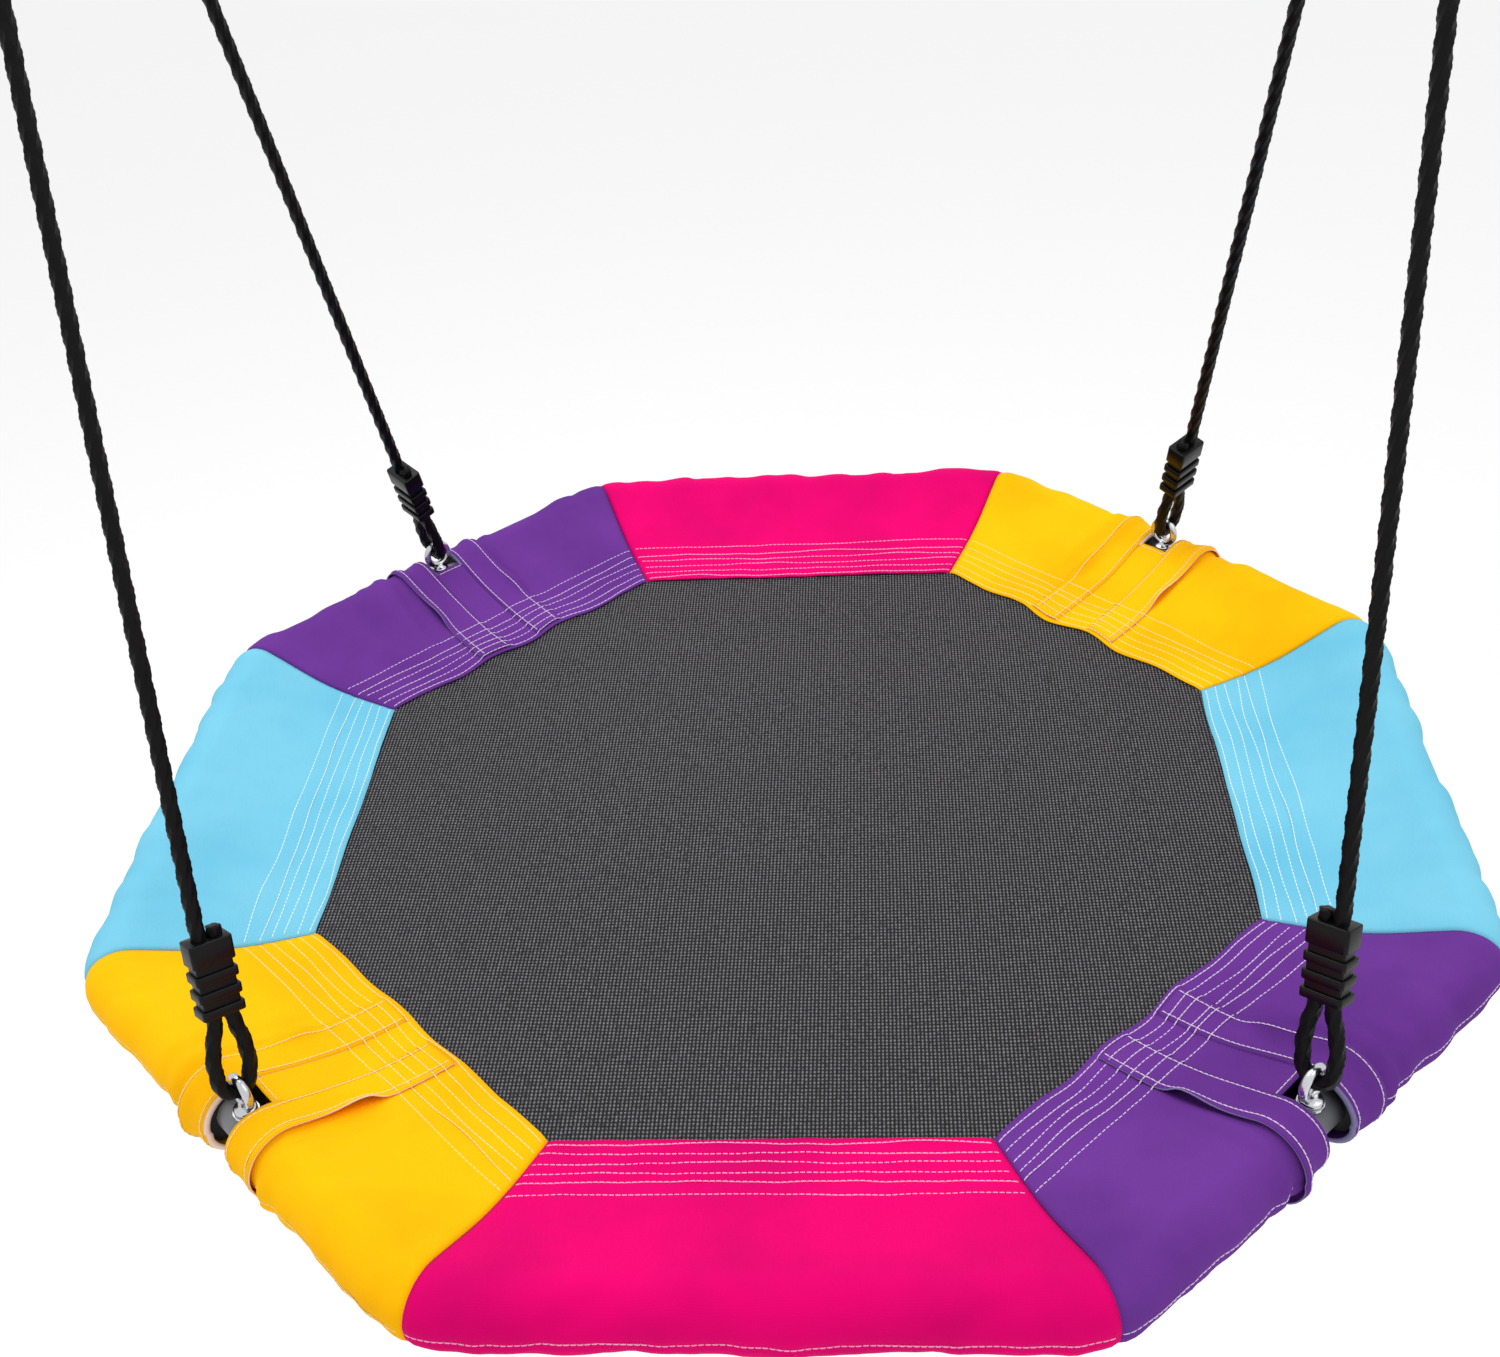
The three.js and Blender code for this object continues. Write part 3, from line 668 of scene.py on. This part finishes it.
for panel, (side, colour) in enumerate(PANELS):
    points, faces = [], []
    for number, run in enumerate((*SEAM_ROWS, HEM_RUN)):
        place_at, length = long_row(panel, run, number * 2.3, 0.0014)
        if panel % 2 and run == HEM_RUN:
            half = length / 2
            reach = half - STRIP_START - STRIP_WIDTH - 0.001
            sew(points, faces, place_at, reach)
            sew(points, faces, lambda a, lift, p=place_at, s=length - reach: p(s + a, lift), reach)
        else:
            lifted = place_at
            if panel % 2:
                def lifted(a, lift, p=place_at, h=length / 2):
                    over_strip = STRIP_START < abs(a - h) < STRIP_START + STRIP_WIDTH
                    return p(a, lift + (STRIP_THICKNESS if over_strip else 0.0))
            sew(points, faces, lifted, length)
    if panel % 2:
        strip_run = SECTION_LENGTH - 2 * STRIP_INSET - 0.004
        for sign in (-1, 1):
            for across in (0.0032, 0.0262):
                def strip_row(a, lift, s=sign, c=across):
                    run = STRIP_INSET + 0.002 + a
                    drift = c + 0.0008 * noise.noise(Vector((a * 20, s, c * 100)))
                    on_strip = strip_lift(panel + s, drift, run)
                    return cloth_point(panel, s * (STRIP_START + drift), run, on_strip + lift)
                sew(points, faces, strip_row, strip_run)
        sew(
            points, faces,
            lambda a, lift: cloth_point(panel, -CUTOUT_HALF + 0.001 + a, cut_top - 0.0035, lift),
            2 * CUTOUT_HALF - 0.002,
        )
    stitching = mesh_object(f"stitching_{side}", points, faces, threads[colour])
    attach(stitching, "platform")

# ---- Mesh seat
# A black coated polyester mesh, sewn into the border all round. It is pulled nearly flat, with a slight
# sag in the middle and faint waves across it.
MESH_APOTHEM = INNER_APOTHEM + 0.040
MESH_RINGS = 64
MESH_SAG = 0.005


def mesh_height(x, y):
    to_side = max(abs(x), abs(y), (abs(x) + abs(y)) * math.sqrt(0.5))
    reach = min(1.0, to_side / INNER_APOTHEM)
    inside = smoothstep((1 - reach) / 0.5)
    wave = 0.0011 * noise.noise(Vector((x * 3, y * 14, 3))) + 0.0008 * noise.noise(Vector((x * 9, y * 6, 8)))
    return -SEAT_DROP - MESH_SAG * inside + wave * smoothstep((1 - reach) / 0.12)


# Coated mesh: dark ribs with painted highlights. The base colour turns light grey on the rib tops and
# crossings, broken into specks, and stands in for their glints. The true 1.4 mm pitch is drawn about twice as
# wide.
mesh_material, tree = new_material("coated_polyester_mesh")
shader = tree.nodes["Principled BSDF"]
place = add_node(tree, "ShaderNodeTexCoord")
parts = add_node(tree, "ShaderNodeSeparateXYZ", links={0: place.outputs["Object"]})
RIB_PITCH, CROSS_PITCH = 0.0027, 0.0033
waves = []
for axis, pitch in (("X", RIB_PITCH), ("Y", CROSS_PITCH)):
    phase = add_node(
        tree, "ShaderNodeMath", {"operation": "MULTIPLY", 1: 2 * math.pi / pitch}, {0: parts.outputs[axis]}
    )
    swing = add_node(tree, "ShaderNodeMath", {"operation": "COSINE"}, {0: phase.outputs[0]})
    waves.append(
        add_node(tree, "ShaderNodeMath", {"operation": "MULTIPLY_ADD", 1: 0.5, 2: 0.5}, {0: swing.outputs[0]})
    )
ribs, crossings = (wave.outputs[0] for wave in waves)
faded = add_node(tree, "ShaderNodeMath", {"operation": "MULTIPLY_ADD", 1: 0.7, 2: 0.3}, {0: crossings})
grid = add_node(tree, "ShaderNodeMath", {"operation": "MULTIPLY"}, {0: ribs, 1: faded.outputs[0]})
speck = noise_on(tree, 1.9, 1)
painted_glint = add_node(tree, "ShaderNodeMath", {"operation": "MULTIPLY"}, {0: grid.outputs[0], 1: speck})
# painted highlight: the light grey on the rib tops and crossings stands in for glints, and the rest is the
# mesh's own near-black
tint(tree, painted_glint.outputs[0], linear("#161517"), linear("#7A787D"), 0.1, 0.5)
relief(tree, grid.outputs[0], 0.4, 0.0006)
shader.inputs["Roughness"].default_value = 0.6
shader.inputs["Specular IOR Level"].default_value = 0.15

points, faces = [centre + Vector((0, 0, mesh_height(0, 0)))], []
SPOKES = 128
for ring in range(1, MESH_RINGS + 1):
    for spoke in range(SPOKES):
        a = 2 * math.pi * spoke / SPOKES
        folded = (a + math.pi / 8) % (math.pi / 4) - math.pi / 8
        r = MESH_APOTHEM * ring / MESH_RINGS / math.cos(folded)
        x, y = r * math.cos(a), r * math.sin(a)
        points.append(centre + Vector((x, y, mesh_height(x, y))))
for spoke in range(SPOKES):
    faces.append((0, 1 + spoke, 1 + (spoke + 1) % SPOKES))
for ring in range(MESH_RINGS - 1):
    for spoke in range(SPOKES):
        a, b = 1 + ring * SPOKES + spoke, 1 + ring * SPOKES + (spoke + 1) % SPOKES
        faces.append((a, a + SPOKES, b + SPOKES, b))
mesh_seat = mesh_object("mesh_seat_cloth", points, faces, mesh_material)
solid_sheet(mesh_seat, 0.0009)
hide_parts("mesh_seat")
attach(mesh_seat, "platform")

# ---- Frame tubes
# Four bent steel tubes, 28 mm across, each with a reduced end pushed into the next and pinned by an
# eye bolt. They are coated in satin grey, and show only in the cutouts.
tube_material, tree = new_material("powder_coated_steel")
shader = tree.nodes["Principled BSDF"]
tint(tree, noise_on(tree, 33, 3), linear("#77797D"), linear("#96989C"))
relief(tree, noise_on(tree, 1.4, 2), 0.15, 0.0002)
shader.inputs["Roughness"].default_value = 0.38
shader.inputs["Metallic"].default_value = 0.3

TUBE_RADIUS = 0.014
BEND_RADIUS = 0.060
BOLT_TO_TUBE_END = 0.024


def section_route(turn):
    """The tube's middle line round one side, with its two bends."""
    side = TUBE_APOTHEM * MITRE
    reach = BEND_RADIUS * MITRE
    tail = side - BOLT_TO_TUBE_END - 0.0006
    slope = math.sqrt(0.5)
    line = [Vector((-side - slope * tail, -TUBE_APOTHEM + slope * tail, 0))]
    for start, sign in ((-side + reach, -1), (side - reach, 1)):
        for i in range(13):
            a = math.pi / 4 * (1 - i / 12 if sign < 0 else i / 12)
            rise = BEND_RADIUS * (1 - math.cos(a))
            line.append(Vector((start + sign * BEND_RADIUS * math.sin(a), -TUBE_APOTHEM + rise, 0)))
    head = side + BOLT_TO_TUBE_END
    line.append(Vector((side + slope * head, -TUBE_APOTHEM + slope * head, 0)))
    return [centre + Matrix.Rotation(turn, 3, "Z") @ p for p in line]


for number, side in enumerate(("front", "right", "back", "left")):
    points, faces = sweep(section_route(number * math.pi / 2), 40, lambda a, run: TUBE_RADIUS)
    tube = mesh_object(f"steel_tube_{side}", points, faces, tube_material)
    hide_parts(f"frame_tube_{side}")
    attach(tube, "platform")

# ---- Foam sleeves
# Closed cell polyethylene foam, 8 mm thick, is slit and pushed over each tube between the cutouts. It
# fills out the cover, and only its cut ends can be seen, deep in the cutouts.
foam_material, tree = new_material("closed_cell_polyethylene_foam")
shader = tree.nodes["Principled BSDF"]
place = add_node(tree, "ShaderNodeTexCoord")
cells = add_node(tree, "ShaderNodeTexVoronoi", {"Scale": per_metre(1.1)}, {"Vector": place.outputs["Object"]})
tint(tree, cells.outputs["Distance"], linear("#1C1C1E"), linear("#303033"))
relief(tree, cells.outputs["Distance"], 0.4, 0.0004)
shader.inputs["Roughness"].default_value = 0.95
for side in ("front", "right", "back", "left"):
    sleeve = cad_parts[f"foam_sleeve_{side}"]
    sleeve.data.materials.clear()
    sleeve.data.materials.append(foam_material)

# ---- Eye bolts, washers and lock nuts
# A forged, zinc plated M8 eye bolt with a round collar stands on each frame joint. It passes through
# both tubes and is held below by a washer and a lock nut.
zinc_material, tree = new_material("bright_zinc_plated_steel")
shader = tree.nodes["Principled BSDF"]
cloud = noise_on(tree, 11, 4)
tint(tree, cloud, linear("#B9BBC0"), linear("#E4E6EA"))
relief(tree, cloud, 0.2, 0.0003)
rough = add_node(tree, "ShaderNodeMath", {"operation": "MULTIPLY_ADD", 1: 0.16, 2: 0.12}, {0: cloud})
tree.links.new(rough.outputs[0], shader.inputs["Roughness"])
shader.inputs["Metallic"].default_value = 1.0

EYE_WIRE = 0.0065
COLLAR_BOTTOM, COLLAR_TOP = 0.0162, 0.0197
BOLT_BOTTOM = -0.0262
THREAD_PITCH = 0.00125
THREADED_LENGTH = 0.009
THREAD_ROOT, THREAD_CREST, SHANK_RADIUS = 0.0034, 0.0040, 0.0039


def turned(outline, sides):
    """Points and faces of a (radius, height) outline turned about the upright axis, closed at both ends."""
    points, faces = [], []
    for radius, height in outline:
        for j in range(sides):
            a = 2 * math.pi * j / sides
            points.append(Vector((radius * math.cos(a), radius * math.sin(a), height)))
    for i in range(len(outline) - 1):
        for j in range(sides):
            k = (j + 1) % sides
            faces.append((i * sides + j, i * sides + k, (i + 1) * sides + k, (i + 1) * sides + j))
    last = (len(outline) - 1) * sides
    faces.append(tuple(range(sides - 1, -1, -1)))
    faces.append(tuple(last + j for j in range(sides)))
    return points, faces


def join_parts(parts):
    points, faces = [], []
    for more_points, more_faces in parts:
        base = len(points)
        points += more_points
        faces += [tuple(base + i for i in face) for face in more_faces]
    return points, faces


def eye_bolt():
    ring = [
        Vector((EYE_RADIUS * math.cos(a), 0, EYE_HEIGHT + EYE_RADIUS * math.sin(a)))
        for a in (2 * math.pi * i / 56 for i in range(56))
    ]
    shank = [(THREAD_ROOT, BOLT_BOTTOM)]
    turns = int(THREADED_LENGTH / THREAD_PITCH)
    for i in range(turns):
        height = BOLT_BOTTOM + 0.0004 + i * THREAD_PITCH
        shank += [(THREAD_ROOT, height), (THREAD_CREST, height + THREAD_PITCH / 2)]
    shank += [(SHANK_RADIUS, -0.012), (SHANK_RADIUS, COLLAR_BOTTOM)]
    collar = [
        (0.0070, COLLAR_BOTTOM), (0.0077, COLLAR_BOTTOM + 0.0004), (0.0080, COLLAR_BOTTOM + 0.0013),
        (0.0078, COLLAR_TOP - 0.0010), (0.0068, COLLAR_TOP - 0.0002), (0.0050, COLLAR_TOP + 0.0006),
        (0.0042, COLLAR_TOP + 0.0022), (0.0036, COLLAR_TOP + 0.0040),
    ]
    return join_parts(
        [sweep(ring, 20, lambda a, run: EYE_WIRE / 2, closed=True), turned(shank, 24), turned(collar, 36)]
    )


for corner, (sx, sy) in CORNERS.items():
    at = centre + Vector((sx, sy, 0)).normalized() * TUBE_APOTHEM
    turn = Matrix.Rotation(math.atan2(sy, sx) + math.pi / 2, 3, "Z")
    points, faces = eye_bolt()
    bolt = mesh_object(f"forged_eye_bolt_{corner}", [at + turn @ p for p in points], faces, zinc_material)
    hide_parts(f"eye_bolt_{corner}")
    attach(bolt, "platform")


def finish_cad(node, material, edge):
    """Gives a CAD piece its material and a small rounded edge."""
    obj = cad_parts[node]
    obj.data.materials.clear()
    obj.data.materials.append(material)
    rounding = obj.modifiers.new("rounding", "BEVEL")
    rounding.width = edge
    rounding.segments = 2
    rounding.limit_method = "ANGLE"
    rounding.angle_limit = math.radians(40)
    rounding.harden_normals = True


for corner in CORNERS:
    for piece in ("top_washer", "bottom_washer", "lock_nut", "rope_clamp"):
        finish_cad(f"{piece}_{corner}", zinc_material, 0.0004)

# ---- Adjusters
# A moulded black plastic block with three fins below it. Both strands of the rope pass through it, and
# it grips them so that the loop keeps its length.
plastic_material, tree = new_material("moulded_nylon")
shader = tree.nodes["Principled BSDF"]
flow = noise_on(tree, 22, 3)
tint(tree, flow, linear("#030304"), linear("#08080A"))
relief(tree, noise_on(tree, 1.5, 3), 0.12, 0.0002)
rough = add_node(tree, "ShaderNodeMath", {"operation": "MULTIPLY_ADD", 1: 0.2, 2: 0.24}, {0: flow})
tree.links.new(rough.outputs[0], shader.inputs["Roughness"])
shader.inputs["Specular IOR Level"].default_value = 0.2

ADJUSTER_BOTTOM = 0.048
ADJUSTER_WIDTH, ADJUSTER_DEPTH = 0.029, 0.018
CORE_WIDTH, CORE_DEPTH = 0.0252, 0.014
BLOCK_HEIGHT, FIN_HEIGHT, GROOVE = 0.016, 0.0065, 0.0055
ADJUSTER_LENGTH = BLOCK_HEIGHT + 3 * (FIN_HEIGHT + GROOVE)
MOULD_EDGE = 0.0008


def rounded_outline(width, depth, corner, steps=6):
    points = []
    for quarter, (sx, sy) in enumerate(((1, 1), (-1, 1), (-1, -1), (1, -1))):
        for i in range(steps + 1):
            a = math.pi / 2 * (quarter + i / steps)
            x = sx * (width / 2 - corner) + corner * math.cos(a)
            y = sy * (depth / 2 - corner) + corner * math.sin(a)
            points.append((x, y))
    return points


def adjuster_levels():
    """Heights and outlines of the block, from its bottom up: slabs with moulded edges and grooves between."""
    slabs = [(i * (FIN_HEIGHT + GROOVE), FIN_HEIGHT) for i in range(3)]
    slabs.append((ADJUSTER_LENGTH - BLOCK_HEIGHT, BLOCK_HEIGHT))
    levels = []
    for bottom, height in slabs:
        if levels:
            levels.append((bottom + 0.0001, CORE_WIDTH, CORE_DEPTH, 0.0015))
        for z, inset in (
            (bottom, MOULD_EDGE), (bottom + MOULD_EDGE * 0.3, MOULD_EDGE * 0.3), (bottom + MOULD_EDGE, 0),
            (bottom + height - MOULD_EDGE, 0), (bottom + height - MOULD_EDGE * 0.3, MOULD_EDGE * 0.3),
            (bottom + height, MOULD_EDGE),
        ):
            levels.append((z, ADJUSTER_WIDTH - 2 * inset, ADJUSTER_DEPTH - 2 * inset, 0.0025 - inset))
        if bottom + height < ADJUSTER_LENGTH - 1e-6:
            levels.append((bottom + height - 0.0001, CORE_WIDTH, CORE_DEPTH, 0.0015))
    return levels


for corner, (sx, sy) in CORNERS.items():
    f = rope_frames(sx, sy)
    third = f["along"].cross(f["across_eye"])
    origin = f["eye"] + f["along"] * ADJUSTER_BOTTOM
    points, faces = [], []
    levels = adjuster_levels()
    for z, width, depth, radius in levels:
        for x, y in rounded_outline(width, depth, radius):
            points.append(origin + f["across_eye"] * x + third * y + f["along"] * z)
    count = len(rounded_outline(1, 1, 0.1))
    for i in range(len(levels) - 1):
        for j in range(count):
            k = (j + 1) % count
            faces.append((i * count + j, i * count + k, (i + 1) * count + k, (i + 1) * count + j))
    last = (len(levels) - 1) * count
    faces.append(tuple(range(count - 1, -1, -1)))
    faces.append(tuple(last + j for j in range(count)))
    block = mesh_object(f"moulded_adjuster_{corner}", points, faces, plastic_material)
    block.modifiers.new("flat_faces", "EDGE_SPLIT").split_angle = math.radians(50)
    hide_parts(f"adjuster_{corner}")
    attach(block, f"adjuster_{corner}")

# ---- Hanging rings and oval links
# Two welded steel rings carry the ropes, and each hangs in a welded oval link of 8 mm wire that goes
# over the hanger. Both are zinc plated like the eye bolts.
RING_WIRE = 0.007
LINK_WIRE = 0.008
LINK_BEND = 0.012
LINK_STRAIGHT = 0.038
link_centre = RING_HEIGHT + RING_RADIUS - (RING_WIRE + LINK_WIRE) / 2 - 0.0003 + LINK_BEND + LINK_STRAIGHT / 2


def with_weld(wire, at, length):
    """A wire radius with the low bead of a butt weld at one place."""
    return lambda a, run: wire / 2 + 0.0004 * math.exp(-(((run - at) / length) ** 2))


for side, sx in (("left", -1), ("right", 1)):
    middle = centre + Vector((sx * HANGER_X, 0, RING_HEIGHT))
    circle = [
        middle + RING_RADIUS * Vector((math.cos(a), 0, math.sin(a)))
        for a in (2 * math.pi * i / 72 for i in range(72))
    ]
    points, faces = sweep(circle, 24, with_weld(RING_WIRE, 0.004, 0.0015), closed=True)
    ring = mesh_object(f"welded_ring_{side}", points, faces, zinc_material)
    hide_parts(f"hanging_ring_{side}")
    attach(ring, "hanging_rings")
    middle = centre + Vector((sx * HANGER_X, 0, link_centre))
    oval = []
    for end in (1, -1):
        for i in range(25):
            a = math.pi * i / 24 if end > 0 else math.pi * (1 + i / 24)
            height = end * LINK_STRAIGHT / 2 + LINK_BEND * math.sin(a)
            oval.append(middle + Vector((0, LINK_BEND * math.cos(a), height)))
    points, faces = sweep(oval, 24, with_weld(LINK_WIRE, 0.055, 0.002), closed=True)
    link = mesh_object(f"welded_link_{side}", points, faces, zinc_material)
    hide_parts(f"oval_link_{side}")
    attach(link, "oval_links")

# ---- Floor and light
# A plain pale studio: a wide floor well below the seat, a bright even surround and two large soft lamps.
FLOOR_DROP, FLOOR_REACH = 1.5, 30
floor_material, tree = new_material("studio_floor")
shader = tree.nodes["Principled BSDF"]
shader.inputs["Base Color"].default_value = linear("#FFFFFF")
shader.inputs["Roughness"].default_value = 1.0
shader.inputs["Specular IOR Level"].default_value = 0.0
low = centre.z - FLOOR_DROP
floor_corners = [
    (x * FLOOR_REACH, y * FLOOR_REACH, low) for x, y in ((-1, -1), (1, -1), (1, 1), (-1, 1))
]
floor = mesh_object("studio_floor", floor_corners, [(0, 1, 2, 3)], floor_material)
world = bpy.data.worlds.new("studio")
bpy.context.scene.world = world
world.use_nodes = True
world.node_tree.nodes["Background"].inputs[0].default_value = (1, 1, 1, 1)
world.node_tree.nodes["Background"].inputs[1].default_value = 0.9


def soft_lamp(name, offset, size, power):
    lamp = bpy.data.objects.new(name, bpy.data.lights.new(name, "AREA"))
    lamp.data.size = size
    lamp.data.energy = power
    lamp.location = centre + Vector(offset)
    lamp.rotation_euler = Vector(offset).to_track_quat("Z", "Y").to_euler()
    bpy.context.scene.collection.objects.link(lamp)


soft_lamp("key_light", (-0.9, 0.9, 2.8), 2.0, 38)
soft_lamp("fill_light", (1.8, -0.6, 2.4), 2.4, 14)
bpy.context.scene.view_settings.view_transform = "Standard"
